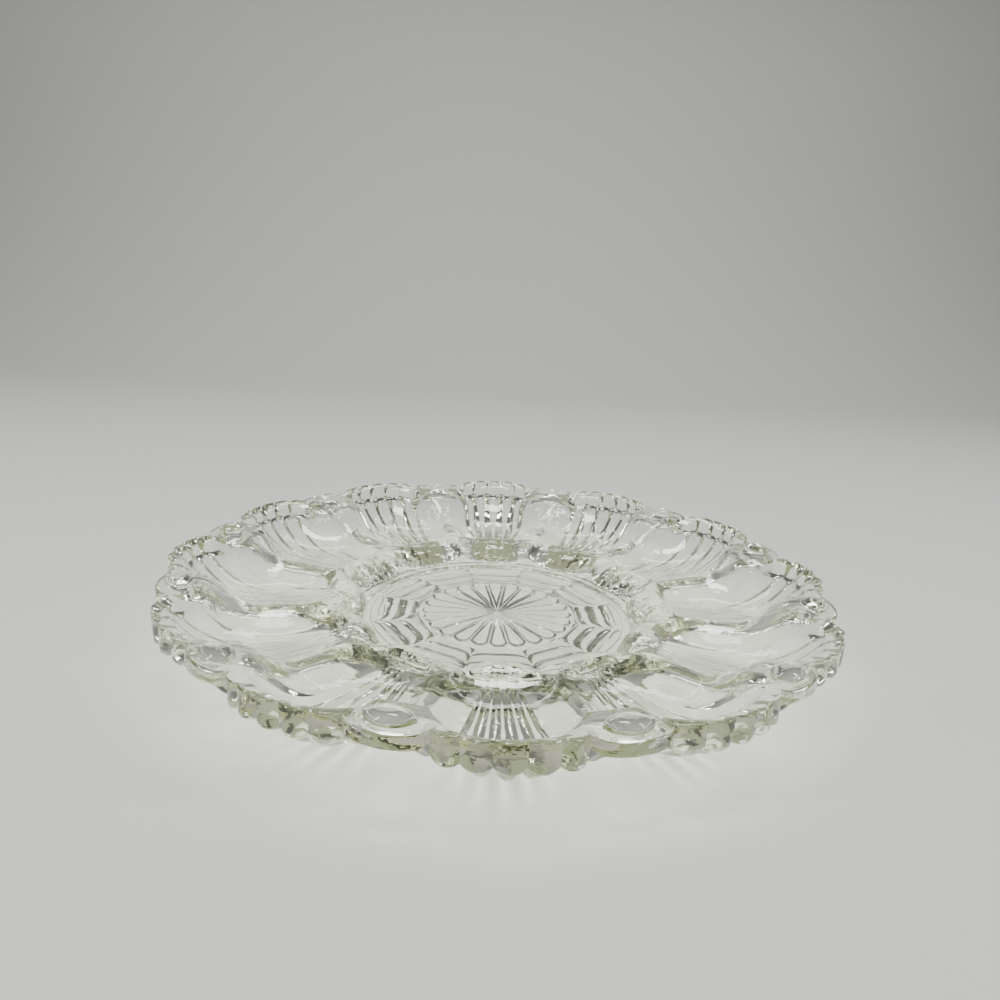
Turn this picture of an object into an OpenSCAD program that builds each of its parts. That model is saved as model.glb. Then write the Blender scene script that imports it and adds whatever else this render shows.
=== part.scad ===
// Pressed-glass plate for twelve egg halves, in millimetres, +Z up.
// The origin is the centre of the foot ring's underside, on the table.
// The real plate is one moulding. Each named region of it is a closed solid here,
// and neighbouring regions meet face to face, as the glass runs on from one to the next.

/* [Rim] */
// radius of the scalloped rim at the middle of a cup, to the cusps between its lobes
rim_r = 124.6; // [123:0.2:126]
// height of the scalloped rim above the table
rim_h = 27; // [26.2:0.2:28]
// width of the sloping band between the rim's edge and the hollow of a cup
lip_w = 4.4; // [3.6:0.2:5.6]
// height of the inner edge of that band above the table
lip_h = 24.8; // [24:0.2:25.6]
// height of the rim's outer face at the cusps between its lobes
face_t = 8.2; // [7.4:0.2:8.8]
// height of the outer face beside a lens
lens_face_t = 4.8; // [4.2:0.2:5.6]
// how far each rim lobe stands out beyond its cusps
lobe_rise = 1.3; // [0.9:0.1:2]
// how far each rim lobe hangs below its cusps
lobe_drop = 1.1; // [0.6:0.1:1.6]
// how far the rim falls back from a cup's middle to the nick beside a lens
rim_dip = 4.6; // [3.6:0.2:5.2]
// rounding of the rim's outer edge
edge_soft = 1.1; // [0.7:0.1:1.4]

/* [Egg cups] */
// height of a cup's lowest inside point above the table
cup_floor_h = 7.6; // [7.2:0.1:8.4]
// radius of the circle through the lowest points of the cups
cup_mid_r = 87; // [84:0.5:90]
// radius of the crest between the centre and a cup, at the cup's middle
crest_r = 63.6; // [62:0.4:65]
// radius of the crest at the notch between two cups
crest_notch_r = 70.6; // [69:0.4:72]
// height of the crest at a cup's middle
crest_h = 14.7; // [13.6:0.1:15.6]
// height of the crest at the notch between two cups
crest_notch_h = 13.2; // [12.4:0.1:14]
// height of the ridge that parts two cups
ridge_h = 13.9; // [13.2:0.1:14.8]
// width of the ridge's flat top
ridge_w = 2.4; // [1.6:0.1:3]

/* [Flutes] */
// radius of the point that the flutes of a cup fan out from
fan_apex_r = 37.5; // [34:0.5:41]
// half the width of the fan of flutes at the rim
fan_half_w = 21.2; // [20:0.2:22]
// how far a flute stands out under the glass
flute_depth = 2.4; // [1.6:0.1:2.6]

/* [Glass] */
// thickness of the glass between the cusps of the flutes
glass_t = 3.5; // [3:0.1:3.6]

/* [Lenses] */
// distance from the rim in to the middle of a lens
lens_inset = 7.6; // [7.2:0.2:8.2]
// length of a lens along the rim
lens_l = 15; // [12:0.5:16]
// width of a lens across the rim
lens_w = 9.4; // [8:0.2:9.8]
// height of the rim platform that a lens stands on
lens_seat_h = 25.2; // [24.6:0.2:25.8]
// how far a lens rises above its platform
lens_rise = 2.8; // [2:0.1:3.2]

/* [Centre] */
// height of the smooth centre floor above the table
floor_h = 6; // [5.4:0.1:6.6]
// radius of the round centre floor
floor_r = 51.5; // [50.8:0.1:52]
// radius of the foot of the centre wall at a cup's middle
wall_foot_r = 53; // [52.4:0.1:54]
// radius of the foot of the centre wall at the notch between two cups
wall_notch_r = 62; // [60:0.5:63]
// depth of the pressed pattern under the centre floor
relief_depth = 1.5; // [0.8:0.1:1.6]

/* [Star and web] */
// radius of the round field that holds the star
star_field_r = 31; // [30.4:0.1:31.2]
// radius that the star's petals reach
petal_tip_r = 29.6; // [28:0.2:29.8]
// radius where the star's petals start
petal_root_r = 3; // [2:0.5:6]
// width of the groove between two petals at their tips
petal_gap = 1.5; // [1:0.1:2.2]
// radius of the first web line at its outer corners
web_first_r = 36; // [35.6:0.1:37]
// distance from one web line to the next
web_step = 5.9; // [5.6:0.1:6.1]
// how far a web line sags towards the centre between two corners
web_sag = 4.1; // [3:0.1:4.4]
// width of a web line
web_line_w = 1.2; // [0.8:0.1:1.6]
// width of the plain border outside the web
web_border_w = 1.6; // [1:0.1:2]

/* [Foot] */
// outer radius of the foot ring
foot_r = 57.4; // [56:0.2:58]
// width of the foot ring's flat
foot_w = 4.4; // [3:0.2:5]
// height of the foot ring
foot_h = 1.5; // [1.1:0.1:1.8]
// flat glass left outside the foot ring before the cups' undersides start to rise
foot_margin = 1.2; // [0.8:0.1:1.6]

/* [Hidden] */
cup_count = 12;
cup_deg = 360 / cup_count;
half_deg = cup_deg / 2;
flute_count = 5;
steps_per_flute = 4;
petal_count = 24;
web_line_count = 3;
arc_steps = 10;
fine = 96;

// radius inside which the columns keep their angle, as a share of the crest radius
fan_start_share = 1.03;
// places of the extra columns between the fan's edge and the ridge, 0 at the fan and 1 at the ridge
side_shares = [0.25, 0.6, 0.86, 1];
// places along the near side of a cup, 0 at the crest and 1 on the circle of lowest points
near_shares = [0.2, 0.4, 0.64, 1];
// places along the far side of a cup, 0 on that circle and 1 at the lip
far_shares = [0, 0.18, 0.32, 0.48, 0.66, 0.8, 1];
// places along the lip, 0 at its inner edge and 1 at the rim
lip_shares = [0.3, 1];
// places under the far side, 1 at the rim and 0 under the circle of lowest points
far_under_shares = [0.87, 0.72, 0.54, 0.28, 0];
// places under the near side, 1 under that circle and 0 at the foot
near_under_shares = [1, 0.72, 0.46, 0.22, 0];
// turns of the quarter round on the centre wall, in degrees
wall_turns = [0, 35, 65, 90];

// powers of the curves: cup floor to crest, cup floor to lip, cup floor to ridge, crest line, rim line
inner_power = 3;
outer_power = 3;
side_power = 2.8;
crest_power = 2.5;
dip_power = 2.5;
// the ridge climbs to the lens platform between these shares of the way from cup middle to rim
ramp_start_share = 0.08;
ramp_end_share = 0.66;
// the flutes fade in, and the underside leaves the foot's level, over this share of the same way back to the foot
blend_share = 0.75;
// glass beside the flutes, as a share of the glass between their cusps
side_glass_share = 1.2;
// largest upright thickness of sloping glass, as a share of the glass square to the slope
upright_share = 1.4;

lens_ring_r = rim_r - lens_inset;
fan_slope = fan_half_w / (rim_r - fan_apex_r);
fan_start_r = crest_r * fan_start_share;
fan_rim_deg = atan(fan_slope * (1 - fan_apex_r / rim_r));
ramp_start_r = cup_mid_r + (rim_r - cup_mid_r) * ramp_start_share;
ramp_end_r = cup_mid_r + (rim_r - cup_mid_r) * ramp_end_share;
under_start_r = foot_r + foot_margin;
blend_r = under_start_r + (cup_mid_r - under_start_r) * blend_share;
slope_step = glass_t / 10;

function mix(a, b, t) = a + (b - a) * t;
function limit(t) = min(1, max(0, t));
function ease(t) = let (u = limit(t)) u * u * (3 - 2 * u);

// half the angle that the fan of flutes covers at radius r
function fan_deg(r) = atan(fan_slope * (1 - fan_apex_r / max(r, fan_start_r)));

// signed angle of column c at radius r; the fan's columns run from -1 to 1, the sides on to -2 and 2
function column_deg(c, r) = abs(c) <= 1
    ? fan_deg(r) * c
    : sign(c) * mix(fan_deg(r), half_deg, abs(c) - 1);

// 0 at a cusp and 1 on the back of a flute or lobe
function swell(c) = let (f = (c + 1) * flute_count / 2, p = f - floor(f))
    abs(c) < 1 ? 4 * p * (1 - p) : 0;

// radius of the rim at a distance a, in degrees, from the cup's middle, without the lobes
function rim_line(a) = a <= fan_rim_deg
    ? rim_r - rim_dip * pow(a / fan_rim_deg, dip_power)
    : rim_r - rim_dip + rim_dip * sqrt(limit(1 - pow((half_deg - a) / (half_deg - fan_rim_deg), 2)));

// radius of the inner edge of the rim's band
function lip_line(a) = rim_line(a) - lip_w;

function crest_line(a) = mix(crest_r, crest_notch_r, pow(a / half_deg, crest_power));
function crest_height(a) = mix(crest_h, crest_notch_h, pow(a / half_deg, 2));
function wall_foot_line(a) = mix(wall_foot_r, wall_notch_r, pow(a / half_deg, 2));

// inside of a cup before the ridge is blended in
function hollow_h(r, a) = r < cup_mid_r
    ? mix(cup_floor_h, crest_height(a), pow(limit((cup_mid_r - r) / (cup_mid_r - crest_line(a))), inner_power))
    : r < lip_line(a)
    ? mix(cup_floor_h, lip_h, pow((r - cup_mid_r) / (lip_line(a) - cup_mid_r), outer_power))
    : mix(lip_h, rim_h, limit((r - lip_line(a)) / lip_w));

function ridge_line_h(r) = r < ramp_start_r
    ? mix(crest_notch_h, ridge_h, ease((r - crest_notch_r) / (cup_mid_r - crest_notch_r)))
    : mix(ridge_h, lens_seat_h, ease((r - ramp_start_r) / (ramp_end_r - ramp_start_r)));

// angle at which the ridge's level is reached: the edge of its flat top inside, the platform's edge at the rim
function ridge_deg(r) = mix(half_deg - atan(ridge_w / 2 / r), column_deg(1 + side_shares[0], rim_line(half_deg)),
    ease((r - ramp_start_r) / (ramp_end_r - ramp_start_r)));

function inside_h(r, a) = mix(hollow_h(r, a), ridge_line_h(r), pow(limit(a / ridge_deg(r)), side_power));

// how much longer the upright way through the glass is than the square way
function upright(r, a) = let (s = (inside_h(r + slope_step, a) - inside_h(r - slope_step, a)) / (2 * slope_step))
    min(upright_share, sqrt(1 + s * s));

// 0 over the fan of flutes and 1 on the smooth glass beside it
function beside(c) = limit((abs(c) - 1) / side_shares[0]);

function glass_at(c) = mix(glass_t, glass_t * side_glass_share, beside(c)) + flute_depth * swell(c);

// height of the rim's outer face
function face_at(c) = mix(face_t, lens_face_t, beside(c)) + lobe_drop * swell(c);

function underside_h(r, a, c) = let (rise = ease((r - under_start_r) / (blend_r - under_start_r)))
    mix(foot_h, inside_h(max(r, crest_line(a)), a) - glass_at(c) * upright(r, a), rise);

// one point of column c at radius r and height h
function spot(c, r, h) = [r * cos(column_deg(c, r)), r * sin(column_deg(c, r)), h];

// one point on the upper surface, or on the lower one no higher than the rim's lower edge
function top_spot(c, r) = spot(c, r, inside_h(r, abs(column_deg(c, r))));
function under_spot(c, r, low_h) = let (a = abs(column_deg(c, r)))
    spot(c, r, min(underside_h(min(r, rim_line(a)), a, c), low_h));

// height of the rim's upper and lower edge in column c
function edge_height(c) = let (a = abs(column_deg(c, rim_r))) inside_h(rim_line(a), a);
function low_height(c) = edge_height(c) - face_at(c);

// closed outline of the near side in column c: centre floor, wall, crest, lowest circle and back underneath
function near_points(c) =
    let (a_wall = abs(column_deg(c, fan_start_r)))
    let (foot = wall_foot_line(a_wall))
    let (crest = crest_line(a_wall))
    concat(
        [spot(c, floor_r, floor_h)],
        [for (t = wall_turns) spot(c, mix(foot, crest, 1 - cos(t)), mix(floor_h, crest_height(a_wall), sin(t)))],
        [for (s = near_shares) top_spot(c, mix(crest, cup_mid_r, s))],
        [for (s = near_under_shares) under_spot(c, mix(under_start_r, cup_mid_r, s), low_height(c))],
        [spot(c, floor_r, foot_h)]
    );

// closed outline of the far side in column c: lowest circle, lip, rim and back underneath
function far_points(c) =
    let (a_rim = abs(column_deg(c, rim_r)))
    let (lip = lip_line(a_rim))
    let (edge = rim_line(a_rim) + lobe_rise * swell(c))
    let (edge_h = edge_height(c))
    let (low_h = low_height(c))
    concat(
        [for (s = far_shares) top_spot(c, mix(cup_mid_r, lip, s))],
        [for (s = lip_shares)
            let (r = mix(lip, edge - edge_soft, s))
            let (a = abs(column_deg(c, r)))
            spot(c, r, inside_h(min(r, rim_line(a)), a))],
        [spot(c, edge, edge_h - edge_soft)],
        [spot(c, edge, low_h + edge_soft)],
        [spot(c, edge - edge_soft, low_h)],
        [for (s = far_under_shares) under_spot(c, mix(cup_mid_r, edge, s), low_h)]
    );

// columns of one cup, from one ridge to the next
side_columns = [for (s = side_shares) 1 + s];
fan_steps = flute_count * steps_per_flute;
columns = concat(
    [for (k = [len(side_columns) - 1 : -1 : 0]) -side_columns[k]],
    [for (k = [0 : fan_steps]) 2 * k / fan_steps - 1],
    side_columns
);

// Glass through the closed outlines of all columns, turned to its place round the plate.
module column_solid(loops, index) {
    n = len(loops[0]);
    last = (len(columns) - 1) * n;
    points = [for (column = loops) each column];
    skin = [for (k = [0 : len(columns) - 2], i = [0 : n - 1])
        let (j = (i + 1) % n, p = k * n, q = p + n)
        each [[p + i, p + j, q + j], [p + i, q + j, q + i]]];
    near_cap = [[for (i = [n - 1 : -1 : 0]) i]];
    far_cap = [[for (i = [0 : n - 1]) last + i]];
    rotate([0, 0, index * cup_deg])
    polyhedron(points = points, faces = concat(skin, near_cap, far_cap), convexity = 8);
}

// The near side of one egg cup: its share of the centre wall, and the hollow down to its lowest circle.
module cup_wall(index) {
    color([0.8, 0.88, 0.78, 0.5])
    column_solid([for (c = columns) near_points(c)], index);
}

// The far side of one egg cup: the hollow up to the lip, the flutes underneath and the rim's lobes.
module cup_shell(index) {
    color([0.86, 0.9, 0.86, 0.45])
    column_solid([for (c = columns) far_points(c)], index);
}

// One eye-shaped lens on the rim, where two cups meet: a low dome inside the overlap of two circles.
module rim_lens(index) {
    side_r = (lens_l * lens_l / 4 + lens_w * lens_w / 4) / lens_w;
    dome_r = (lens_l * lens_l / 4 + lens_rise * lens_rise) / (2 * lens_rise);
    color([0.9, 0.94, 0.88, 0.5])
    rotate([0, 0, (index + 0.5) * cup_deg])
    translate([lens_ring_r, 0, lens_seat_h])
    intersection() {
        linear_extrude(height = 2 * lens_rise)
        intersection() {
            translate([side_r - lens_w / 2, 0]) circle(r = side_r, $fn = fine);
            translate([lens_w / 2 - side_r, 0]) circle(r = side_r, $fn = fine);
        }
        translate([0, 0, lens_rise - dome_r]) sphere(r = dome_r, $fn = fine);
    }
}

// Outline of a web line with its outer corners at radius r; the line sags inwards between them.
function web_outline(r) = [for (k = [0 : cup_count * arc_steps - 1])
    let (t = 2 * (k % arc_steps) / arc_steps - 1)
    let (bow = 1 - t * t)
    let (a = k * cup_deg / arc_steps - half_deg)
    let (line_r = r - web_sag * (sqrt(bow) * (2 - bow) + bow) / 2)
    [line_r * cos(a), line_r * sin(a)]];

module petal() {
    tip_half_w = petal_tip_r * sin(180 / petal_count) - petal_gap / 2;
    tip_r = petal_tip_r - tip_half_w;
    polygon([[petal_root_r, 0], [tip_r, -tip_half_w], [tip_r, tip_half_w]]);
    translate([tip_r, 0]) circle(r = tip_half_w, $fn = fine);
}

// The round field in the middle, smooth above, with the star's petals standing out underneath.
module star_field() {
    color([0.82, 0.86, 0.82, 0.45])
    union() {
        translate([0, 0, foot_h + relief_depth])
        cylinder(r = star_field_r, h = floor_h - foot_h - relief_depth, $fn = fine);
        translate([0, 0, foot_h])
        linear_extrude(height = relief_depth)
        for (k = [0 : petal_count - 1]) rotate([0, 0, k * 360 / petal_count]) petal();
    }
}

// The ring round the star, smooth above, with the bands of the web standing out underneath.
module web_band() {
    color([0.82, 0.86, 0.82, 0.45])
    difference() {
        translate([0, 0, foot_h])
        cylinder(r = floor_r, h = floor_h - foot_h, $fn = fine);
        cylinder(r = star_field_r, h = floor_h * 2, $fn = fine);
        for (k = [0 : web_line_count - 1])
            linear_extrude(height = foot_h + relief_depth)
            difference() {
                intersection() {
                    polygon(web_outline(web_first_r + k * web_step + web_line_w / 2));
                    circle(r = floor_r - web_border_w, $fn = fine);
                }
                polygon(web_outline(web_first_r + k * web_step - web_line_w / 2));
            }
    }
}

// The low ring that the plate stands on.
module foot_ring() {
    color([0.78, 0.84, 0.76, 0.5])
    difference() {
        cylinder(r = foot_r, h = foot_h, $fn = fine);
        translate([0, 0, -foot_h]) cylinder(r = foot_r - foot_w, h = 3 * foot_h, $fn = fine);
    }
}

star_field();
web_band();
foot_ring();
cup_wall(0);  // cup_wall_01
cup_wall(1);  // cup_wall_02
cup_wall(2);  // cup_wall_03
cup_wall(3);  // cup_wall_04
cup_wall(4);  // cup_wall_05
cup_wall(5);  // cup_wall_06
cup_wall(6);  // cup_wall_07
cup_wall(7);  // cup_wall_08
cup_wall(8);  // cup_wall_09
cup_wall(9);  // cup_wall_10
cup_wall(10);  // cup_wall_11
cup_wall(11);  // cup_wall_12
cup_shell(0);  // cup_shell_01
cup_shell(1);  // cup_shell_02
cup_shell(2);  // cup_shell_03
cup_shell(3);  // cup_shell_04
cup_shell(4);  // cup_shell_05
cup_shell(5);  // cup_shell_06
cup_shell(6);  // cup_shell_07
cup_shell(7);  // cup_shell_08
cup_shell(8);  // cup_shell_09
cup_shell(9);  // cup_shell_10
cup_shell(10);  // cup_shell_11
cup_shell(11);  // cup_shell_12
rim_lens(0);  // rim_lens_01
rim_lens(1);  // rim_lens_02
rim_lens(2);  // rim_lens_03
rim_lens(3);  // rim_lens_04
rim_lens(4);  // rim_lens_05
rim_lens(5);  // rim_lens_06
rim_lens(6);  // rim_lens_07
rim_lens(7);  // rim_lens_08
rim_lens(8);  // rim_lens_09
rim_lens(9);  // rim_lens_10
rim_lens(10);  // rim_lens_11
rim_lens(11);  // rim_lens_12
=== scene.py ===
"""Dresses the pressed-glass egg plate for its picture, in the frame of its CAD solids.

The real plate is one moulding, so one closed glass piece stands for all the CAD regions. A wedge
of one egg cup is built from the plate's own rule and repeated round the axis with Geometry Nodes.
The plate's sizes are in millimetres, as in the part's source, and become metres where a mesh is
made. The studio's are in metres.
"""

import logging
import math
from dataclasses import dataclass, field
from enum import Enum
from typing import Any, Sequence

import bpy
import numpy as np
from mathutils import Matrix, Vector

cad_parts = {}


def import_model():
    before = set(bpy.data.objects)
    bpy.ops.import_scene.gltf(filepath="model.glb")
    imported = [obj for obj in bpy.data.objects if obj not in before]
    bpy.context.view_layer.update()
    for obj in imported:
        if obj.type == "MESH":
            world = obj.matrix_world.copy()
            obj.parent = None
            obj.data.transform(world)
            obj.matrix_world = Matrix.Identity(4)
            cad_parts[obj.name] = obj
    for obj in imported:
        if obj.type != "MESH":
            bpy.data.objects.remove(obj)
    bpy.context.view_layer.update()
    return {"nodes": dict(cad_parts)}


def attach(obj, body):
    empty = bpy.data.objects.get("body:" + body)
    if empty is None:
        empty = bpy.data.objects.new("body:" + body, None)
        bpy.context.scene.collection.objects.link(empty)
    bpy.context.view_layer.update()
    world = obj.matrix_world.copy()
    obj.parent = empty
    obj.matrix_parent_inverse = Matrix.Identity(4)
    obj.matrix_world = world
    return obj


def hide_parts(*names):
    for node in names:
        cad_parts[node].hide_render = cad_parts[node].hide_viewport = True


LOG = logging.getLogger("egg_plate")
MM = 0.001
BODY = "root"

Array = np.ndarray


class Operation(Enum):
    """What a Math node does with its two values."""

    ADD = "ADD"
    SUBTRACT = "SUBTRACT"
    MULTIPLY = "MULTIPLY"
    ABOVE = "GREATER_THAN"


def mix(a: Any, b: Any, t: Any) -> Any:
    """Returns the value a share t of the way from a to b."""
    return a + (b - a) * t


def limit(t: Any) -> Any:
    """Returns t held between 0 and 1."""
    return np.clip(t, 0.0, 1.0)


def ease(t: Any) -> Any:
    """Returns a smooth step from 0 to 1."""
    u = limit(t)
    return u * u * (3 - 2 * u)


def lower_of(a: Any, b: Any, round_off: float) -> Any:
    """Returns the lower of two heights, rounded where they cross.

    Args:
        a: One height.
        b: The other height.
        round_off: Difference, in millimetres, within which the two are blended.

    Returns:
        The blended height, never above the lower of the two.
    """
    near = np.maximum(round_off - np.abs(a - b), 0.0)
    return np.minimum(a, b) - near * near / (4 * round_off)


def arc(turns: Sequence[float]) -> list[tuple[float, float]]:
    """Returns 1 - sine and 1 - cosine of each angle in degrees, for points on a rounded edge."""
    return [(1 - math.sin(math.radians(turn)), 1 - math.cos(math.radians(turn))) for turn in turns]


def mesh_of(name: str, points: Sequence[Any], faces: Sequence[Any]) -> bpy.types.Mesh:
    """Makes a mesh.

    Args:
        name: The mesh's name.
        points: Its points, in metres.
        faces: The numbers of each face's points.

    Returns:
        The mesh.
    """
    mesh = bpy.data.meshes.new(name)
    mesh.from_pydata(points, [], faces)
    mesh.update()
    return mesh


def placed(name: str, data: Any) -> bpy.types.Object:
    """Puts something into the scene.

    Args:
        name: The object's name.
        data: Its mesh, lamp or camera.

    Returns:
        The object, linked to the scene.
    """
    made = bpy.data.objects.new(name, data)
    bpy.context.scene.collection.objects.link(made)
    return made


@dataclass(frozen=True)
class PlateForm:
    """The rule that the glass follows, with the formulas and sizes of the part's source.

    Some sizes have other names there. The crest and the lip are sharp there and blended within
    soft here. The columns of a cup run from -2 to 2: from -1 to 1 across its fan of flutes, and
    on to the middle of the ridge on each side. Angles are in degrees from the cup's middle.
    """

    rim_r: float = 124.6
    rim_h: float = 27.0
    lip_w: float = 4.4
    lip_h: float = 24.8
    face_t: float = 8.2
    lens_face_t: float = 4.8
    lobe_rise: float = 1.3
    lobe_drop: float = 1.1
    rim_dip: float = 4.6
    cup_floor_h: float = 7.6
    cup_mid_r: float = 87.0
    crest_r: float = 63.6
    crest_notch_r: float = 70.6
    crest_h: float = 14.7
    crest_notch_h: float = 13.2
    ridge_h: float = 13.9
    ridge_w: float = 2.4
    fan_apex_r: float = 37.5
    fan_half_w: float = 21.2
    flute_depth: float = 2.4
    flutes: int = 5
    glass_t: float = 3.5
    beside_share: float = 1.2
    upright_share: float = 1.4
    seat_h: float = 25.2
    floor_h: float = 6.0
    wall_foot_r: float = 53.0
    wall_notch_r: float = 62.0
    foot_r: float = 57.4
    foot_w: float = 4.4
    foot_h: float = 1.5
    foot_margin: float = 1.2
    half_deg: float = 15.0
    beside_column: float = 0.25
    soft: float = 0.8
    fan_start_share: float = 1.03
    blend_share: float = 0.75
    ramp_start_share: float = 0.08
    ramp_end_share: float = 0.66
    side_power: float = 2.8
    crest_power: float = 2.5
    dip_power: float = 2.5
    slope_parts: float = 10.0

    @property
    def fan_slope(self) -> float:
        """Returns how fast the fan of flutes widens."""
        return self.fan_half_w / (self.rim_r - self.fan_apex_r)

    @property
    def fan_start_r(self) -> float:
        """Returns the radius inside which the columns keep their angle."""
        return self.crest_r * self.fan_start_share

    @property
    def fan_rim_deg(self) -> float:
        """Returns half the angle that the fan covers at the rim."""
        return math.degrees(math.atan(self.fan_slope * (1 - self.fan_apex_r / self.rim_r)))

    @property
    def under_start_r(self) -> float:
        """Returns the radius where the cups' undersides start to rise."""
        return self.foot_r + self.foot_margin

    @property
    def blend_r(self) -> float:
        """Returns the radius where the flutes have their full depth."""
        return mix(self.under_start_r, self.cup_mid_r, self.blend_share)

    def fan_deg(self, r: Array) -> Array:
        """Returns half the angle of the fan of flutes at radius r."""
        reach = 1 - self.fan_apex_r / np.maximum(r, self.fan_start_r)
        return np.degrees(np.arctan(self.fan_slope * reach))

    def column_deg(self, c: Array, r: Array) -> Array:
        """Finds the signed angles of columns.

        Args:
            c: The columns.
            r: The radius of each.

        Returns:
            Their angles.
        """
        fan = self.fan_deg(r)
        side = np.sign(c) * mix(fan, self.half_deg, np.abs(c) - 1)
        return np.where(np.abs(c) <= 1, fan * c, side)

    def column_at(self, deg: Array, r: Array) -> Array:
        """Finds the columns that lie at signed angles.

        Args:
            deg: The angles.
            r: The radius of each.

        Returns:
            The columns there.
        """
        fan = self.fan_deg(r)
        side = np.sign(deg) * (1 + (np.abs(deg) - fan) / (self.half_deg - fan))
        return np.where(np.abs(deg) <= fan, deg / fan, side)

    def swell(self, c: Array) -> Array:
        """Shapes the backs of the flutes and lobes.

        Args:
            c: The columns.

        Returns:
            1 on the back of a flute or lobe, and 0 at a cusp and beside the fan.
        """
        turn = (c + 1) * self.flutes / 2
        p = turn - np.floor(turn)
        return np.where(np.abs(c) < 1, 4 * p * (1 - p), 0.0)

    def rim_line(self, a: Array) -> Array:
        """Draws the rim without its lobes.

        Args:
            a: Angles, without their sign.

        Returns:
            The rim's radii.
        """
        across = np.minimum(a, self.fan_rim_deg) / self.fan_rim_deg
        inner = self.rim_r - self.rim_dip * across**self.dip_power
        turn = (self.half_deg - a) / (self.half_deg - self.fan_rim_deg)
        outer = self.rim_r - self.rim_dip + self.rim_dip * np.sqrt(limit(1 - turn**2))
        return np.where(a <= self.fan_rim_deg, inner, outer)

    def crest_line(self, a: Array) -> Array:
        """Returns the crest's radius."""
        return mix(self.crest_r, self.crest_notch_r, (a / self.half_deg) ** self.crest_power)

    def crest_height(self, a: Array) -> Array:
        """Returns the crest's height."""
        return mix(self.crest_h, self.crest_notch_h, (a / self.half_deg) ** 2)

    def wall_foot(self, a: Array) -> Array:
        """Returns the radius where the centre wall meets the floor."""
        return mix(self.wall_foot_r, self.wall_notch_r, (a / self.half_deg) ** 2)

    def hollow(self, r: Array, a: Array) -> Array:
        """Shapes a cup's inside before its ridge is blended in.

        Args:
            r: Radii.
            a: Angles, without their sign.

        Returns:
            The heights there.
        """
        crest = self.crest_line(a)
        inward = np.maximum((self.cup_mid_r - r) / (self.cup_mid_r - crest), 0.0)
        inner = mix(self.cup_floor_h, self.crest_height(a), inward**3)
        inner = lower_of(inner, self.crest_height(a), self.soft)
        lip = self.rim_line(a) - self.lip_w
        outward = np.maximum((r - self.cup_mid_r) / (lip - self.cup_mid_r), 0.0)
        bowl = mix(self.cup_floor_h, self.lip_h, outward**3)
        band = mix(self.lip_h, self.rim_h, np.minimum((r - lip) / self.lip_w, 1.0))
        return np.where(r < self.cup_mid_r, inner, lower_of(bowl, band, self.soft))

    def ramp(self, r: Array) -> Array:
        """Tells how far the ridge has climbed towards the rim.

        Args:
            r: Radii.

        Returns:
            0 on the ridge's low stretch and 1 at the rim.
        """
        start = mix(self.cup_mid_r, self.rim_r, self.ramp_start_share)
        end = mix(self.cup_mid_r, self.rim_r, self.ramp_end_share)
        return ease((r - start) / (end - start))

    def ridge_line(self, r: Array) -> Array:
        """Shapes the ridge between two cups.

        Args:
            r: Radii.

        Returns:
            The ridge's heights.
        """
        span = self.cup_mid_r - self.crest_notch_r
        low = mix(self.crest_notch_h, self.ridge_h, ease((r - self.crest_notch_r) / span))
        return mix(low, self.seat_h, self.ramp(r))

    def inside(self, r: Array, a: Array) -> Array:
        """Shapes the upper surface outside the crest.

        Args:
            r: Radii.
            a: Angles, without their sign.

        Returns:
            The heights there.
        """
        flat = np.degrees(np.arctan(self.ridge_w / 2 / r))
        notch_r = self.rim_line(np.array(self.half_deg))
        seat = self.column_deg(np.array(1 + self.beside_column), notch_r)
        edge = mix(self.half_deg - flat, seat, self.ramp(r))
        return mix(self.hollow(r, a), self.ridge_line(r), limit(a / edge) ** self.side_power)

    def beside(self, c: Array) -> Array:
        """Returns 0 over the fan of flutes and 1 on the smooth glass beside it."""
        return limit((np.abs(c) - 1) / self.beside_column)

    def face(self, c: Array) -> Array:
        """Returns the height of the rim's outer face."""
        return mix(self.face_t, self.lens_face_t, self.beside(c)) + self.lobe_drop * self.swell(c)

    def underside(self, r: Array, a: Array, c: Array) -> Array:
        """Shapes the lower surface outside the foot.

        Args:
            r: Radii.
            a: Angles, without their sign.
            c: The columns that lie there.

        Returns:
            The heights there.
        """
        step = self.glass_t / self.slope_parts
        slope = (self.inside(r + step, a) - self.inside(r - step, a)) / (2 * step)
        upright = np.minimum(self.upright_share, np.sqrt(1 + slope**2))
        glass = self.glass_t * mix(1.0, self.beside_share, self.beside(c))
        glass = glass + self.flute_depth * self.swell(c)
        rise = ease((r - self.under_start_r) / (self.blend_r - self.under_start_r))
        top = self.inside(np.maximum(r, self.crest_line(a)), a)
        return mix(self.foot_h, top - glass * upright, rise)


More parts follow.
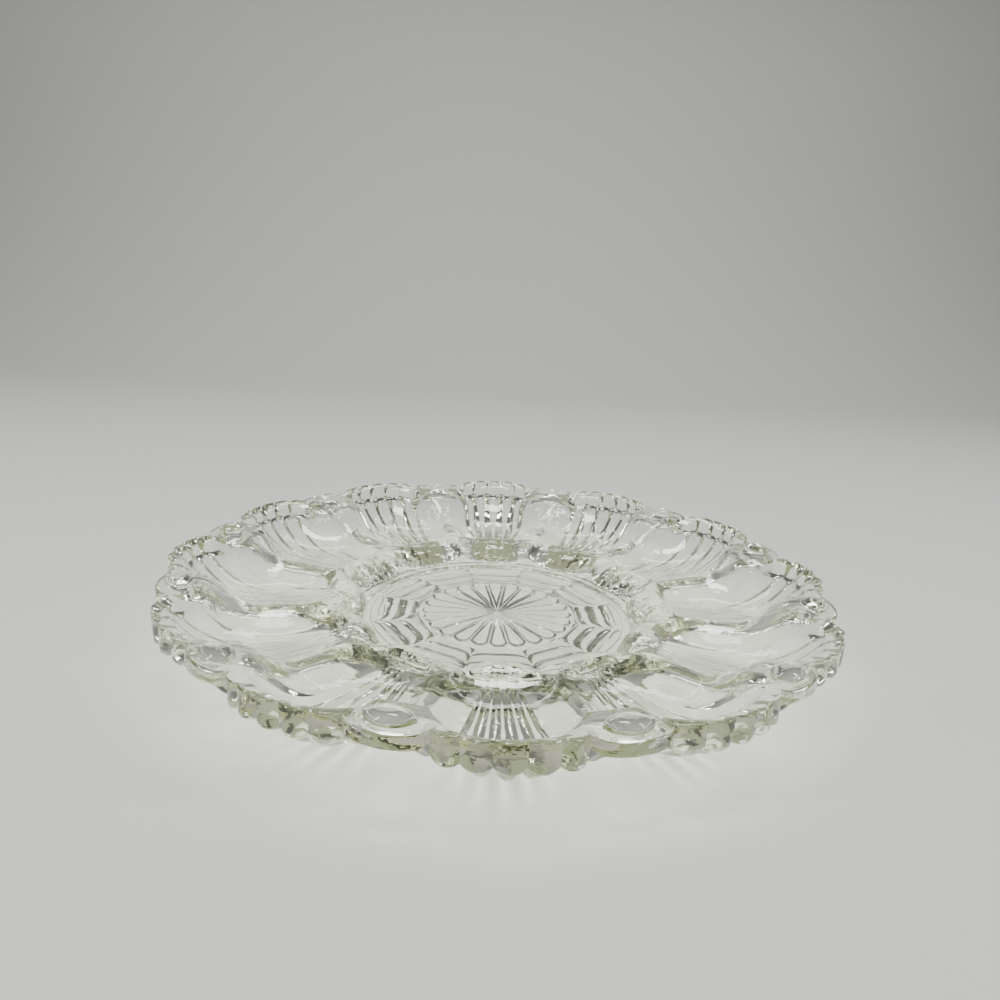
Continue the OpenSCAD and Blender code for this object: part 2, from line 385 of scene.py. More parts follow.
@dataclass(frozen=True)
class CentreRelief:
    """The star and web that are pressed into the underside of the centre floor.

    Here the petals have rounded shoulders, the bands swell from line to line, and smooth crescents
    lie outside the last web line. The part's source has flat petals and bands with upright sides,
    and no crescents.
    """

    field_r: float = 31.0
    petal_tip_r: float = 29.6
    petal_root_r: float = 3.0
    petal_gap: float = 1.5
    petal_deg: float = 15.0
    depth: float = 1.5
    shoulder: float = 1.0
    crescent: Sequence[tuple[float, float]] = (
        (0.95, 0.55), (0.72, 0.62), (0.5, 0.55), (0.42, 0.14),
        (0.27, 0.0), (0.13, 0.14), (0.05, 0.55),
    )
    web_first_r: float = 36.0
    web_step: float = 5.9
    web_sag: float = 4.1
    web_lines: int = 3
    border_r: float = 49.9
    floor_r: float = 51.5
    pillow_power: float = 2.6
    web_shares: Sequence[float] = (0.06, 0.16, 0.32, 0.5, 0.68, 0.84, 0.94, 1.0)
    star_stations: Sequence[float] = (
        30.4, 29.9, 29.4, 28.9, 28.3, 27.6, 26.8, 25.6, 23.5, 20.5, 17.0, 13.0, 9.5, 6.5, 4.0,
    )

    def sag(self, deg: Array, half_deg: float) -> Array:
        """Returns how far a web line sags towards the centre at a signed angle."""
        bow = 1 - (deg / half_deg) ** 2
        return self.web_sag * (np.sqrt(limit(bow)) * (2 - bow) + bow) / 2

    def petal(self, r: Array, deg: Array) -> Array:
        """Returns 1 on a petal's face and 0 in the groove round it.

        Args:
            r: Radii, in millimetres.
            deg: Signed angles from a cup's middle.

        Returns:
            The share of the relief's full height.
        """
        turn = (deg + self.petal_deg / 2) % self.petal_deg - self.petal_deg / 2
        x, y = r * np.cos(np.radians(turn)), np.abs(r * np.sin(np.radians(turn)))
        half_turn = math.radians(self.petal_deg / 2)
        tip_half = self.petal_tip_r * math.sin(half_turn) - self.petal_gap / 2
        tip_x = self.petal_tip_r - tip_half
        lean = math.atan2(tip_half, tip_x - self.petal_root_r)
        side = ((x - self.petal_root_r) * math.tan(lean) - y) * math.cos(lean)
        cap = tip_half - np.hypot(x - tip_x, y)
        inside = np.where(x > tip_x, cap, side)
        return np.sqrt(1 - (1 - limit(inside / self.shoulder)) ** 2)

    def rings(self, foot_h: float, sag: Array) -> list[tuple[Array, Array]]:
        """Lists the web's stations from the border inwards.

        Args:
            foot_h: Height of the raised glass, in millimetres.
            sag: How far the web lines sag in each column.

        Returns:
            Pairs of radii and heights, one value for each column.
        """
        line = [self.web_first_r + k * self.web_step - sag for k in range(self.web_lines)]
        flat = np.full_like(sag, foot_h)
        found = [(np.full_like(sag, self.floor_r), flat), (np.full_like(sag, self.border_r), flat)]
        for share, drop in self.crescent:
            found.append((mix(line[-1], self.border_r, share), flat + self.depth * drop))
        found.append((line[-1], flat + self.depth))
        edges = line[::-1] + [np.full_like(sag, self.field_r)]
        for outer, inner in zip(edges, edges[1:]):
            for share in self.web_shares:
                height = foot_h + self.depth * abs(2 * share - 1) ** self.pillow_power
                found.append((mix(outer, inner, share), np.full_like(sag, height)))
        return found


@dataclass
class CupWedge:
    """One egg cup with its share of the centre, as loops of glass from axis to rim and back.

    Its steps are finer than in the part's source. The rounding of rim, foot and floor is its own:
    the source has a bevel on the rim and sharp edges elsewhere. The centre wall lies up to 1.2 mm
    off the source's curves, because a column's angle changes there and is read only once.
    """

    form: PlateForm = field(default_factory=PlateForm)
    relief: CentreRelief = field(default_factory=CentreRelief)
    steps_per_flute: int = 8
    side_shares: Sequence[float] = (0.08, 0.25, 0.42, 0.6, 0.78, 0.91, 1.0)
    upper_round: float = 0.9
    lower_round: float = 1.3
    foot_round: float = 0.5
    floor_fillet: float = 1.2
    floor_stations: Sequence[float] = (6.0, 18.0, 31.0, 42.0, 50.0)
    fillet_turns: Sequence[float] = (0.0, 22.0, 45.0, 68.0, 90.0)
    wall_shares: Sequence[float] = (0.16, 0.32, 0.48, 0.62, 0.75, 0.86, 0.94, 1.0)
    cup_steps: int = 28
    lip_shares: Sequence[float] = (0.12, 0.3, 0.6, 1.0)
    upper_turns: Sequence[float] = (30.0, 60.0, 90.0)
    face_shares: Sequence[float] = (0.35, 0.7)
    lower_turns: Sequence[float] = (0.0, 30.0, 60.0, 90.0)
    under_steps: int = 29
    foot_turns: Sequence[float] = (0.0, 45.0, 90.0)

    def columns(self) -> tuple[Array, Array]:
        """Lays out the wedge's columns.

        Returns:
            The columns, and the even angles that they take at the centre.
        """
        steps = self.form.flutes * self.steps_per_flute
        sides = 1 + np.array(self.side_shares)
        fan = np.linspace(-1, 1, steps + 1)
        c = np.concatenate([-sides[::-1], fan, sides])
        return c, np.linspace(-self.form.half_deg, self.form.half_deg, len(c))

    def angles(self, c: Array, even: Array, r: Array) -> Array:
        """Finds each column's signed angle, which is even at the centre and the fan's outside.

        Args:
            c: The columns.
            even: Their angles at the centre.
            r: The radius of each.

        Returns:
            Their angles.
        """
        start = self.relief.floor_r
        share = ease((r - start) / (self.form.fan_start_r - start))
        return mix(even, self.form.column_deg(c, r), share)

    def rim_edge(self, c: Array, even: Array) -> tuple[Array, Array, Array, Array]:
        """Finds where the rim runs.

        Args:
            c: The columns.
            even: Their angles at the centre.

        Returns:
            The rim's radii without and with its lobes, and the heights of its top and of its
            face's foot.
        """
        f = self.form
        at_rim = np.abs(self.angles(c, even, np.full_like(c, f.rim_r)))
        line = f.rim_line(at_rim)
        high = f.inside(line, at_rim)
        return line, line + f.lobe_rise * f.swell(c), high, high - f.face(c)

    def upper(self, c: Array, even: Array) -> list[tuple[Array, Array]]:
        """Lists the stations of the upper surface, from near the axis out to the rim's face.

        Args:
            c: The columns.
            even: Their angles at the centre.

        Returns:
            Pairs of radii and heights, one value for each column.
        """
        f = self.form
        at_wall = np.abs(self.angles(c, even, np.full_like(c, (f.wall_foot_r + f.crest_r) / 2)))
        foot, crest, crest_h = f.wall_foot(at_wall), f.crest_line(at_wall), f.crest_height(at_wall)
        one = np.ones_like(c)
        found = [(one * r, one * f.floor_h) for r in self.floor_stations]
        for by_sin, by_cos in arc(self.fillet_turns):
            height = f.floor_h + self.floor_fillet * by_cos * one
            found.append((foot - self.floor_fillet * by_sin, height))
        first = np.degrees(np.arcsin(self.floor_fillet / (crest_h - f.floor_h)))
        for share in self.wall_shares:
            turn = np.radians(mix(first, 90.0, share))
            radius = mix(foot, crest, 1 - np.cos(turn))
            wall = mix(f.floor_h, crest_h, np.sin(turn))
            slope = (f.cup_mid_r - radius) / (f.cup_mid_r - crest)
            cup = mix(f.cup_floor_h, crest_h, slope**3)
            blend = limit(1 - (at_wall / f.half_deg) ** 2)
            found.append((radius, mix(wall, lower_of(wall, cup, f.soft), blend)))
        line, edge, _, _ = self.rim_edge(c, even)
        lip = line - f.lip_w
        for share in np.linspace(0.0, 1.0, self.cup_steps + 1)[1:]:
            found.append(self.on_top(mix(crest, lip, share), c, even))
        for share in self.lip_shares:
            found.append(self.on_top(mix(lip, edge - self.upper_round, share), c, even))
        return found

    def on_top(self, r: Array, c: Array, even: Array) -> tuple[Array, Array]:
        """Returns the radii and the heights of the upper surface there."""
        a = np.abs(self.angles(c, even, r))
        return r, self.form.inside(np.minimum(r, self.form.rim_line(a)), a)

    def rim_face(self, c: Array, even: Array) -> list[tuple[Array, Array]]:
        """Lists the stations round the rim's edge, from its top to its underside.

        Args:
            c: The columns.
            even: Their angles at the centre.

        Returns:
            Pairs of radii and heights, one value for each column.
        """
        _, edge, high, low = self.rim_edge(c, even)
        found = []
        for by_sin, by_cos in arc(self.upper_turns):
            found.append((edge - self.upper_round * by_sin, high - self.upper_round * by_cos))
        for share in self.face_shares:
            found.append((edge, mix(high - self.upper_round, low + self.lower_round, share)))
        for by_sin, by_cos in arc(self.lower_turns):
            found.append((edge - self.lower_round * by_cos, low + self.lower_round * by_sin))
        return found

    def lower(self, c: Array, even: Array) -> list[tuple[Array, Array]]:
        """Lists the stations of the underside, from the rim in to the star's middle.

        Args:
            c: The columns.
            even: Their angles at the centre.

        Returns:
            Pairs of radii and heights, one value for each column.
        """
        f, w = self.form, self.relief
        _, edge, _, low = self.rim_edge(c, even)
        one = np.ones_like(c)
        found = []
        for share in np.linspace(1.0, 0.0, self.under_steps + 1)[1:]:
            radius = mix(f.under_start_r * one, edge - self.lower_round, share)
            deg = self.angles(c, even, radius)
            a, true_c = np.abs(deg), f.column_at(deg, radius)
            height = f.underside(np.minimum(radius, f.rim_line(a)), a, true_c)
            found.append((radius, lower_of(height, low, f.soft)))
        inner, size, rounded = f.foot_r - f.foot_w, self.foot_round, arc(self.foot_turns)
        ring = [(f.foot_r, f.foot_h)]
        ring += [(f.foot_r - size * by_cos, size * by_sin) for by_sin, by_cos in rounded]
        ring += [(inner + size * by_cos, size * by_sin) for by_sin, by_cos in rounded[::-1]]
        ring.append((inner, f.foot_h))
        found += [(one * r, one * h) for r, h in ring]
        found += w.rings(f.foot_h, w.sag(even, f.half_deg))
        for radius in w.star_stations:
            height = f.foot_h + w.depth * (1 - w.petal(one * radius, even))
            found.append((one * radius, height))
        return found

    def mesh(self) -> bpy.types.Mesh:
        """Builds the wedge's mesh, open only on the two planes where it meets its neighbours.

        Returns:
            The mesh, in metres.
        """
        c, even = self.columns()
        stations = self.upper(c, even) + self.rim_face(c, even) + self.lower(c, even)
        count = len(c)
        points = [(0.0, 0.0, self.form.floor_h * MM)]
        for radius, height in stations:
            turn = np.radians(self.angles(c, even, radius))
            x, y = radius * np.cos(turn), radius * np.sin(turn)
            points += [tuple(p) for p in np.stack([x, y, height], axis=1) * MM]
        points.append((0.0, 0.0, (self.form.foot_h + self.relief.depth) * MM))
        last = len(points) - 1
        faces: list[tuple[int, ...]] = []
        for k in range(count - 1):
            faces.append((0, 1 + k, 2 + k))
            for s in range(len(stations) - 1):
                here, there = 1 + s * count + k, 1 + (s + 1) * count + k
                faces.append((here, there, there + 1, here + 1))
            end = 1 + (len(stations) - 1) * count + k
            faces.append((end, last, end + 1))
        return mesh_of("cup_wedge", points, faces)


@dataclass(frozen=True)
class RimLens:
    """The eye-shaped lens that stands on the rim where two cups meet.

    The ring inside its outline is its own: the part's source has a plain low dome.
    """

    ring_r: float = 117.0
    length: float = 15.0
    width: float = 9.4
    seat_h: float = 25.2
    rise: float = 2.8
    sunk: float = 0.9
    crown: float = 0.995
    around: int = 48
    profile: Sequence[tuple[float, float]] = (
        (0.985, 0.2), (0.94, 0.42), (0.87, 0.5), (0.78, 0.42),
        (0.72, 0.54), (0.6, 0.76), (0.44, 0.9), (0.25, 0.97),
    )

    def outline(self) -> Array:
        """Draws the pointed oval as two arcs.

        Returns:
            The outline's points as pairs of millimetres, centred on the lens.
        """
        side = (self.length**2 / 4 + self.width**2 / 4) / self.width
        half = math.asin(self.length / 2 / side)
        turns = np.linspace(-half, half, self.around // 2, endpoint=False)
        one = np.stack([side * np.cos(turns) - side + self.width / 2, side * np.sin(turns)], axis=1)
        return np.concatenate([one, -one])

    def mesh(self, turn_deg: float) -> bpy.types.Mesh:
        """Builds one closed lens, its base sunk into the rim's glass.

        Args:
            turn_deg: The angle of the lens round the plate.

        Returns:
            The mesh, in metres.
        """
        outline = self.outline()
        n = len(outline)
        rings = [(1.0, -self.sunk / self.rise)] + list(self.profile)
        points = []
        for share, height in rings:
            z = self.seat_h + self.rise * height
            points += [(self.ring_r + x * share, y * share, z) for x, y in outline]
        points.append((self.ring_r, 0.0, self.seat_h + self.rise * self.crown))
        top = len(points) - 1
        points.append((self.ring_r, 0.0, self.seat_h - self.sunk))
        base = len(points) - 1
        faces: list[tuple[int, ...]] = []
        for k in range(n):
            m = (k + 1) % n
            faces.append((base, m, k))
            for s in range(len(rings) - 1):
                faces.append((s * n + k, s * n + m, (s + 1) * n + m, (s + 1) * n + k))
            end = (len(rings) - 1) * n
            faces.append((end + k, end + m, top))
        turn = Matrix.Rotation(math.radians(turn_deg), 4, "Z")
        return mesh_of("lens_blank", [tuple(turn @ Vector(p) * MM) for p in points], faces)


@dataclass
class RoundRepeat:
    """A Geometry Nodes tree that repeats a shape round the upright axis.

    Points of neighbours that lie within the weld distance, in metres, become one.
    """

    count: int = 12
    weld: float = 0.000004

    def tree(self, name: str) -> bpy.types.GeometryNodeTree:
        """Builds the tree with its named inputs.

        Args:
            name: The tree's name.

        Returns:
            The node tree, which ends in Realize Instances and Set Material.
        """
        tree = bpy.data.node_groups.new(name, "GeometryNodeTree")
        face = tree.interface
        face.new_socket("Shape", in_out="INPUT", socket_type="NodeSocketGeometry")
        face.new_socket("Count", in_out="INPUT", socket_type="NodeSocketInt")
        face.new_socket("Step Angle", in_out="INPUT", socket_type="NodeSocketFloat")
        face.new_socket("Weld Distance", in_out="INPUT", socket_type="NodeSocketFloat")
        face.new_socket("Glass", in_out="INPUT", socket_type="NodeSocketMaterial")
        face.new_socket("Ring", in_out="OUTPUT", socket_type="NodeSocketGeometry")
        enter = tree.nodes.new("NodeGroupInput")
        leave = tree.nodes.new("NodeGroupOutput")
        spots = tree.nodes.new("GeometryNodePoints")
        index = tree.nodes.new("GeometryNodeInputIndex")
        angle = tree.nodes.new("ShaderNodeMath")
        angle.operation = Operation.MULTIPLY.value
        turn = tree.nodes.new("FunctionNodeAxisAngleToRotation")
        turn.inputs["Axis"].default_value = (0.0, 0.0, 1.0)
        place = tree.nodes.new("GeometryNodeInstanceOnPoints")
        real = tree.nodes.new("GeometryNodeRealizeInstances")
        weld = tree.nodes.new("GeometryNodeMergeByDistance")
        smooth = tree.nodes.new("GeometryNodeSetShadeSmooth")
        dress = tree.nodes.new("GeometryNodeSetMaterial")
        wire = tree.links.new
        wire(enter.outputs["Count"], spots.inputs["Count"])
        wire(index.outputs[0], angle.inputs[0])
        wire(enter.outputs["Step Angle"], angle.inputs[1])
        wire(angle.outputs[0], turn.inputs["Angle"])
        wire(spots.outputs[0], place.inputs["Points"])
        wire(enter.outputs["Shape"], place.inputs["Instance"])
        wire(turn.outputs[0], place.inputs["Rotation"])
        wire(place.outputs[0], real.inputs[0])
        wire(real.outputs[0], weld.inputs["Geometry"])
        wire(enter.outputs["Weld Distance"], weld.inputs["Distance"])
        wire(weld.outputs[0], smooth.inputs[0])
        wire(smooth.outputs[0], dress.inputs["Geometry"])
        wire(enter.outputs["Glass"], dress.inputs["Material"])
        wire(dress.outputs[0], leave.inputs["Ring"])
        return tree

    def apply(self, name: str, shape: bpy.types.Mesh, glass: bpy.types.Material) -> bpy.types.Mesh:
        """Repeats a shape and returns the plain mesh.

        Args:
            name: Name for the result.
            shape: The mesh to repeat.
            glass: The material that it gets.

        Returns:
            The finished mesh, with no modifier left.
        """
        tree = self.tree(name + "_repeat")
        source = placed(name + "_source", shape)
        modifier = source.modifiers.new("repeat", "NODES")
        modifier.node_group = tree
        values = {
            "Count": self.count,
            "Step Angle": math.tau / self.count,
            "Weld Distance": self.weld,
            "Glass": glass,
        }
        for item in tree.interface.items_tree:
            if item.item_type == "SOCKET" and item.name in values:
                modifier[item.identifier] = values[item.name]
        return flattened(source, name)


def flattened(source: bpy.types.Object, name: str) -> bpy.types.Mesh:
    """Evaluates an object's modifiers into a plain mesh and removes the object.

    Args:
        source: The object with its modifiers.
        name: Name for the mesh.

    Returns:
        The evaluated mesh.
    """
    bpy.context.view_layer.update()
    graph = bpy.context.evaluated_depsgraph_get()
    mesh = bpy.data.meshes.new_from_object(source.evaluated_get(graph))
    mesh.name = name
    source.modifiers.clear()
    bpy.data.objects.remove(source)
    return mesh


class Wire:
    """Wraps a shader socket, so that maths on values is written as an expression."""

    def __init__(self, paint: "Paint", socket: bpy.types.NodeSocket) -> None:
        """Keeps the material's builder and the socket."""
        self.paint = paint
        self.socket = socket

    def _math(self, operation: Operation, a: Any, b: Any) -> "Wire":
        """Adds a Math node and returns its value."""
        return self.paint.node("ShaderNodeMath", {"operation": operation.value}, {0: a, 1: b})

    def __add__(self, other: Any) -> "Wire":
        """Returns the sum."""
        return self._math(Operation.ADD, self, other)

    __radd__ = __add__

    def __sub__(self, other: Any) -> "Wire":
        """Returns the difference."""
        return self._math(Operation.SUBTRACT, self, other)

    def __rsub__(self, other: Any) -> "Wire":
        """Returns the difference the other way round."""
        return self._math(Operation.SUBTRACT, other, self)

    def __mul__(self, other: Any) -> "Wire":
        """Returns the product."""
        return self._math(Operation.MULTIPLY, self, other)

    __rmul__ = __mul__

    def __gt__(self, other: Any) -> "Wire":
        """Returns 1 where the value is above the other and 0 elsewhere."""
        return self._math(Operation.ABOVE, self, other)


class Paint:
    """Builds one material's nodes."""

    def __init__(self, name: str) -> None:
        """Starts an empty material.

        Args:
            name: The material's name.
        """
        self.material = bpy.data.materials.new(name)
        self.material.use_nodes = True
        self.tree = self.material.node_tree
        self.tree.nodes.clear()

    def node(
        self, kind: str, settings: dict[str, Any], sockets: dict[Any, Any], output: Any = 0
    ) -> Wire:
        """Adds a node, sets it up and connects it.

        Args:
            kind: The node's type.
            settings: Its own settings, which are set first.
            sockets: Values or wires for its input sockets.
            output: The output socket to return.

        Returns:
            The wrapped output socket.
        """
        made = self.tree.nodes.new(kind)
        for key, value in settings.items():
            setattr(made, key, value)
        for key, value in sockets.items():
            if isinstance(value, Wire):
                self.tree.links.new(value.socket, made.inputs[key])
            else:
                made.inputs[key].default_value = value
        if not made.outputs:
            return Wire(self, None)
        return Wire(self, made.outputs[output])

    def noise(self, place: Wire, size: float, detail: float, roughness: float = 0.5) -> Wire:
        """Returns a noise with about size waves to the metre."""
        sockets = {"Vector": place, "Scale": size, "Detail": detail, "Roughness": roughness}
        return self.node("ShaderNodeTexNoise", {}, sockets)

    def clear(self, share: tuple[float, float, float]) -> Wire:
        """Returns a surface that lets that share of red, green and blue pass unbent."""
        return self.node("ShaderNodeBsdfTransparent", {}, {"Color": (*share, 1.0)})


@dataclass(frozen=True)
class ClearGlass:
    """Clear pressed glass with the faint green of its thick places and the mould's soft waviness.

    A ray that turns back inside the glass more often than the renderer follows it would end black,
    where real glass carries its light on. After more than turned_back turns it passes every face
    of the glass unbent. At each it keeps a third of its light in the centre, a painted shade that
    darkens the lines of the star and web, and nearly all of it beyond. This isn't how real glass
    behaves.
    Heights of waves and spans of radii are in metres.
    """

    tint: tuple[float, float, float] = (0.985, 1.0, 0.975)
    depth_tint: tuple[float, float, float] = (0.88, 0.93, 0.66)
    depth_density: float = 14.0
    ior: float = 1.52
    roughness: float = 0.012
    haze_size: float = 38.0
    haze_detail: float = 3.0
    wave_size: float = 210.0
    wave_detail: float = 1.5
    wave_roughness: float = 0.45
    wave_height: float = 0.00016
    streak_size_share: float = 3.2
    streak_detail: float = 1.0
    streak_share: float = 0.22
    wall_wave: float = 2.5
    wall_wave_size: float = 340.0
    wall_wave_detail: float = 2.0
    wall_in: tuple[float, float] = (0.0515, 0.0555)
    wall_out: tuple[float, float] = (0.0635, 0.071)
    lamp_share: tuple[float, float, float] = (0.64, 0.68, 0.61)
    turned_back: float = 2.5
    # Painted shade: the third kept in the centre darkens the lines of the star and web.
    painted_shade_centre: tuple[float, float, float] = (0.34, 0.35, 0.32)
    long_way_beyond: tuple[float, float, float] = (1.0, 1.0, 0.92)
    painted_shade_end: tuple[float, float] = (0.0485, 0.0525)

    def radius(self, paint: Paint, place: Wire) -> Wire:
        """Measures how far a point lies from the plate's axis.

        Args:
            paint: The material's builder.
            place: The point.

        Returns:
            The wired distance, in metres.
        """
        level = {0: place, 1: (1.0, 1.0, 0.0)}
        flat = paint.node("ShaderNodeVectorMath", {"operation": "MULTIPLY"}, level)
        return paint.node("ShaderNodeVectorMath", {"operation": "LENGTH"}, {0: flat}, "Value")

    def past(self, paint: Paint, radius: Wire, span: tuple[float, float]) -> Wire:
        """Returns 0 inside a span of radii and 1 outside it, with a smooth step between.

        Args:
            paint: The material's builder.
            radius: The distance from the axis.
            span: Where the step starts and ends, in metres.

        Returns:
            The wired share.
        """
        return paint.node(
            "ShaderNodeMapRange",
            {"interpolation_type": "SMOOTHSTEP"},
            {"Value": radius, "From Min": span[0], "From Max": span[1]},
        )

    def material(self) -> bpy.types.Material:
        """Builds the glass.

        Returns:
            The material.
        """
        paint = Paint("pressed_clear_glass")
        place = paint.node("ShaderNodeTexCoord", {}, {}, "Object")
        waves = paint.noise(place, self.wave_size, self.wave_detail, self.wave_roughness)
        streaks = paint.noise(place, self.wave_size * self.streak_size_share, self.streak_detail)
        crumple = paint.noise(place, self.wall_wave_size, self.wall_wave_detail)
        radius = self.radius(paint, place)
        near_wall = self.past(paint, radius, self.wall_in) - self.past(paint, radius, self.wall_out)
        relief = waves + streaks * self.streak_share + crumple * near_wall * self.wall_wave
        bump = paint.node(
            "ShaderNodeBump", {}, {"Strength": 1.0, "Distance": self.wave_height, "Height": relief}
        )
        haze = paint.noise(place, self.haze_size, self.haze_detail)
        glass = paint.node(
            "ShaderNodeBsdfPrincipled",
            {},
            {
                "Base Color": (*self.tint, 1.0),
                "Roughness": haze * (2 * self.roughness),
                "IOR": self.ior,
                "Transmission Weight": 1.0,
                "Normal": bump,
            },
        )
        # Painted shade in the centre: rays that turned back too often keep a third of their light
        # at each face.
        centre, beyond = paint.clear(self.painted_shade_centre), paint.clear(self.long_way_beyond)
        past_painted_shade = self.past(paint, radius, self.painted_shade_end)
        leaving = paint.node("ShaderNodeMixShader", {}, {0: past_painted_shade, 1: centre, 2: beyond})
        turns = paint.node("ShaderNodeLightPath", {}, {}, "Glossy Depth")
        long_way = turns > self.turned_back
        body = paint.node("ShaderNodeMixShader", {}, {0: long_way, 1: glass, 2: leaving})
        lamps = paint.clear(self.lamp_share)
        shadow = paint.node("ShaderNodeLightPath", {}, {}, "Is Shadow Ray")
        surface = paint.node("ShaderNodeMixShader", {}, {0: shadow, 1: body, 2: lamps})
        depth = {"Color": (*self.depth_tint, 1.0), "Density": self.depth_density}
        inside = paint.node("ShaderNodeVolumeAbsorption", {}, depth)
        paint.node("ShaderNodeOutputMaterial", {}, {"Surface": surface, "Volume": inside})
        return paint.material


@dataclass(frozen=True)
class PaleFloor:
    """The plain matt finish of the studio's floor."""

    colour: tuple[float, float, float] = (0.6, 0.6, 0.59)
    roughness: float = 0.75

    def material(self) -> bpy.types.Material:
        """Builds the floor's finish.

        Returns:
            The material.
        """
        paint = Paint("pale_floor")
        sockets = {"Base Color": (*self.colour, 1.0), "Roughness": self.roughness}
        matt = paint.node("ShaderNodeBsdfPrincipled", {}, sockets)
        paint.node("ShaderNodeOutputMaterial", {}, {"Surface": matt})
        return paint.material


@dataclass
class PressedPlate:
    """The plate: the repeated cup wedge with the twelve rim lenses joined to it."""

    wedge: CupWedge = field(default_factory=CupWedge)
    lens: RimLens = field(default_factory=RimLens)
    repeat: RoundRepeat = field(default_factory=RoundRepeat)
    finish: ClearGlass = field(default_factory=ClearGlass)
    sharp_deg: float = 38.0

    def build(self) -> bpy.types.Object:
        """Builds the plate's one closed piece.

        Returns:
            The object, at the origin and in metres.
        """
        glass = self.finish.material()
        body = self.repeat.apply("pressed_plate", self.wedge.mesh(), glass)
        lenses = self.repeat.apply("rim_lenses", self.lens.mesh(self.wedge.form.half_deg), glass)
        plate = placed("pressed_plate", body)
        added = placed("rim_lenses", lenses)
        join = plate.modifiers.new("join_lenses", "BOOLEAN")
        join.operation, join.solver, join.object = "UNION", "MANIFOLD", added
        mesh = flattened(plate, "pressed_plate")
        bpy.data.objects.remove(added)
        done = placed("pressed_plate", mesh)
        self.smooth(mesh)
        return done

    def smooth(self, mesh: bpy.types.Mesh) -> None:
        """Shades the glass smoothly, but for the cusps between flutes and the lenses' feet.

        Args:
            mesh: The plate's mesh.
        """
        mesh.polygons.foreach_set("use_smooth", [True] * len(mesh.polygons))
        mesh.set_sharp_from_angle(angle=math.radians(self.sharp_deg))
        mesh.update()

    def dress(self, plate: bpy.types.Object, nodes: Sequence[str]) -> None:
        """Fixes the piece to the frame in place of the CAD regions.

        Args:
            plate: The finished piece.
            nodes: The names of the regions.
        """
        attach(plate, BODY)
        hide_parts(*nodes)


@dataclass(frozen=True)
class PhotoCamera:
    """The camera that was fitted to the photograph's twelve lenses and the web's corners.

    The fit's unit is the radius of the circle of lenses, in millimetres, and shift counts in it.
    plane_h is the height of that circle, also in millimetres. focal_px counts in the photograph's
    pixels, and clip is in metres.
    """

    focal_px: float = 773.0
    frame_px: float = 1000.0
    sensor: float = 36.0
    pitch_deg: float = 15.64
    yaw_deg: float = 2.22
    roll_deg: float = 3.02
    unit: float = 117.0
    plane_h: float = 25.25
    shift: tuple[float, float, float] = (-0.0019, 0.2147, 2.5937)
    clip: tuple[float, float] = (0.01, 20.0)

    def build(self) -> bpy.types.Object:
        """Places the camera.

        Returns:
            The camera object.
        """
        pitch, yaw, roll = (math.radians(v) for v in (self.pitch_deg, self.yaw_deg, self.roll_deg))
        sin, cos = math.sin(pitch), math.cos(pitch)
        tilt = Matrix(((1, 0, 0), (0, -sin, -cos), (0, cos, -sin)))
        view = Matrix.Rotation(roll, 3, "Z") @ tilt @ Matrix.Rotation(yaw, 3, "Z")
        away = -(view.transposed() @ Vector(self.shift)) * self.unit
        centre = away + Vector((0, 0, self.plane_h))
        right, down, ahead = view.row[0], view.row[1], view.row[2]
        data = bpy.data.cameras.new("photo_camera")
        data.sensor_width = self.sensor
        data.lens = self.focal_px / self.frame_px * self.sensor
        data.clip_start, data.clip_end = self.clip
        camera = placed("photo_camera", data)
        axes = Matrix((right, -Vector(down), -Vector(ahead))).transposed().to_4x4()
        camera.matrix_world = Matrix.Translation(centre * MM) @ axes
        bpy.context.scene.camera = camera
        return camera


@dataclass(frozen=True)
class SoftBox:
    """One soft lamp of the studio, with places and sizes in metres and its power in watts."""

    name: str
    place: tuple[float, float, float]
    aim: tuple[float, float, float]
    width: float
    height: float
    power: float
    colour: tuple[float, float, float] = (1.0, 0.99, 0.97)

    def build(self) -> bpy.types.Object:
        """Builds the lamp.

        Returns:
            The lamp, turned towards its aim.
        """
        data = bpy.data.lights.new(self.name, "AREA")
        data.shape, data.size, data.size_y = "RECTANGLE", self.width, self.height
        data.energy, data.color = self.power, self.colour
        lamp = placed(self.name, data)
        lamp.location = self.place
        towards = Vector(self.aim) - Vector(self.place)
        lamp.rotation_euler = towards.to_track_quat("-Z", "Y").to_euler()
        lamp.visible_camera = False
        return lamp


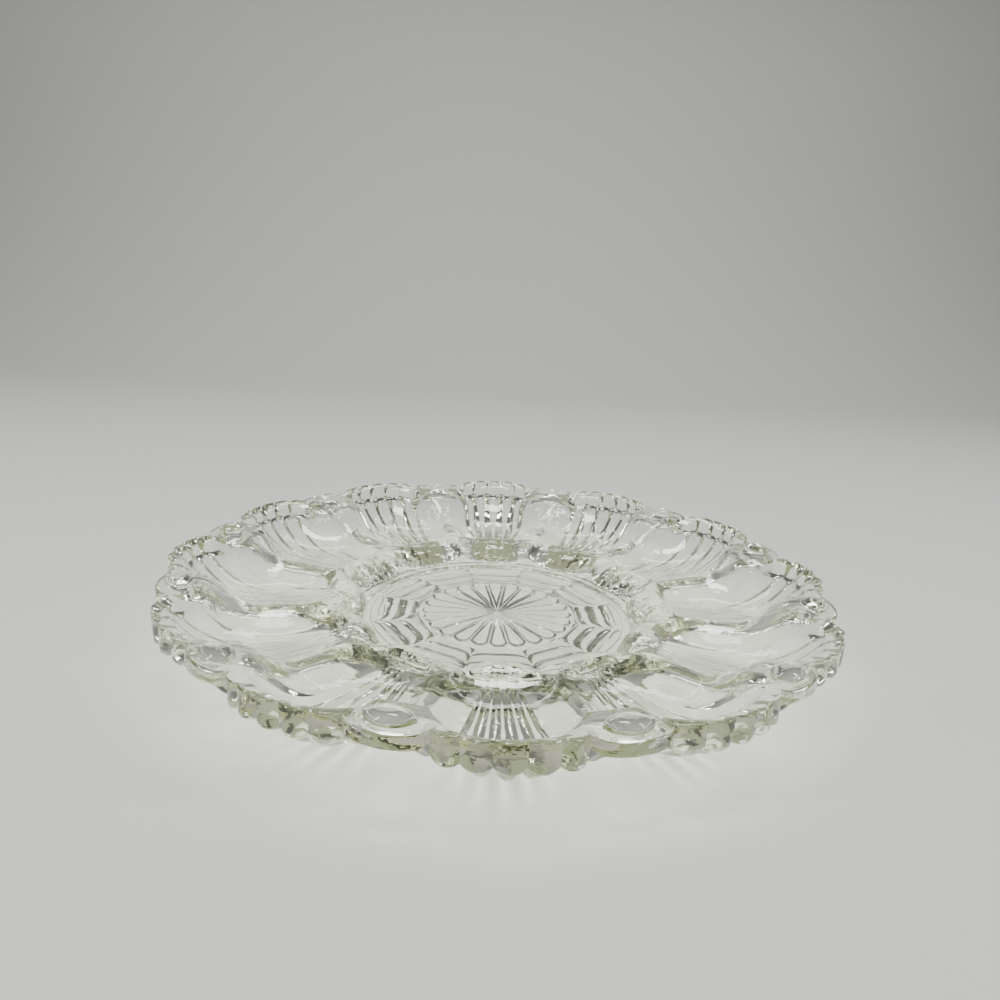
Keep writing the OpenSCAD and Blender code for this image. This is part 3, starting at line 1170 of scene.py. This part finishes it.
@dataclass
class Studio:
    """A pale floor that curves up behind the plate, and plain soft light.

    The floor lies a hair's breadth under the foot ring, as glass never touches a table all over.
    The surroundings are kept dim and most lamps narrow, so that the glass has dark lines and
    bright ones.
    """

    half_width: float = 1.6
    front: float = -1.3
    back: float = 1.15
    bend: float = 0.5
    bend_steps: int = 12
    height: float = 1.3
    air_gap: float = 0.0001
    sky: float = 0.1
    lamps: Sequence[SoftBox] = (
        SoftBox("top_box", (0.0, -0.05, 0.95), (0.0, 0.0, 0.0), 0.4, 0.2, 7.5),
        SoftBox("left_box", (-0.9, -0.35, 0.5), (0.0, 0.0, 0.0), 0.1, 0.6, 6.5),
        SoftBox("right_box", (0.95, -0.2, 0.55), (0.0, 0.0, 0.0), 0.1, 0.6, 5.5),
        SoftBox("front_box", (0.0, -0.95, 0.42), (0.0, 0.0, 0.02), 0.9, 0.12, 2.0),
        SoftBox("back_box", (0.0, 0.75, 0.95), (0.0, 0.0, 0.0), 1.2, 0.12, 3.5),
    )

    def build(self) -> None:
        """Builds the floor, the lamps and the surroundings."""
        flat_end = self.back - self.bend
        profile = [(self.front, 0.0), (flat_end, 0.0)]
        for k in range(1, self.bend_steps + 1):
            turn = math.radians(90 * k / self.bend_steps)
            along = flat_end + self.bend * math.sin(turn)
            profile.append((along, self.bend * (1 - math.cos(turn))))
        profile.append((self.back, self.height))
        points = [
            (side * self.half_width, y, z - self.air_gap) for y, z in profile for side in (-1, 1)
        ]
        faces = [(2 * k, 2 * k + 1, 2 * k + 3, 2 * k + 2) for k in range(len(profile) - 1)]
        mesh = mesh_of("studio_floor", points, faces)
        mesh.polygons.foreach_set("use_smooth", [True] * len(mesh.polygons))
        mesh.materials.append(PaleFloor().material())
        floor = placed("studio_floor", mesh)
        for lamp in self.lamps:
            lamp.build()
        world = bpy.data.worlds.new("studio_air")
        world.use_nodes = True
        sky = world.node_tree.nodes["Background"]
        sky.inputs["Color"].default_value = (1.0, 1.0, 1.0, 1.0)
        sky.inputs["Strength"].default_value = self.sky
        bpy.context.scene.world = world


def main() -> None:
    """Builds the scene in order and reports each piece."""
    logging.basicConfig(level=logging.INFO, format="%(name)s: %(message)s")
    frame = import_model()
    PhotoCamera().build()
    Studio().build()
    maker = PressedPlate()
    plate = maker.build()
    maker.dress(plate, sorted(frame["nodes"]))
    plate.data.calc_loop_triangles()
    LOG.info("pressed_plate: %d triangles", len(plate.data.loop_triangles))


if __name__ == "__main__":
    main()
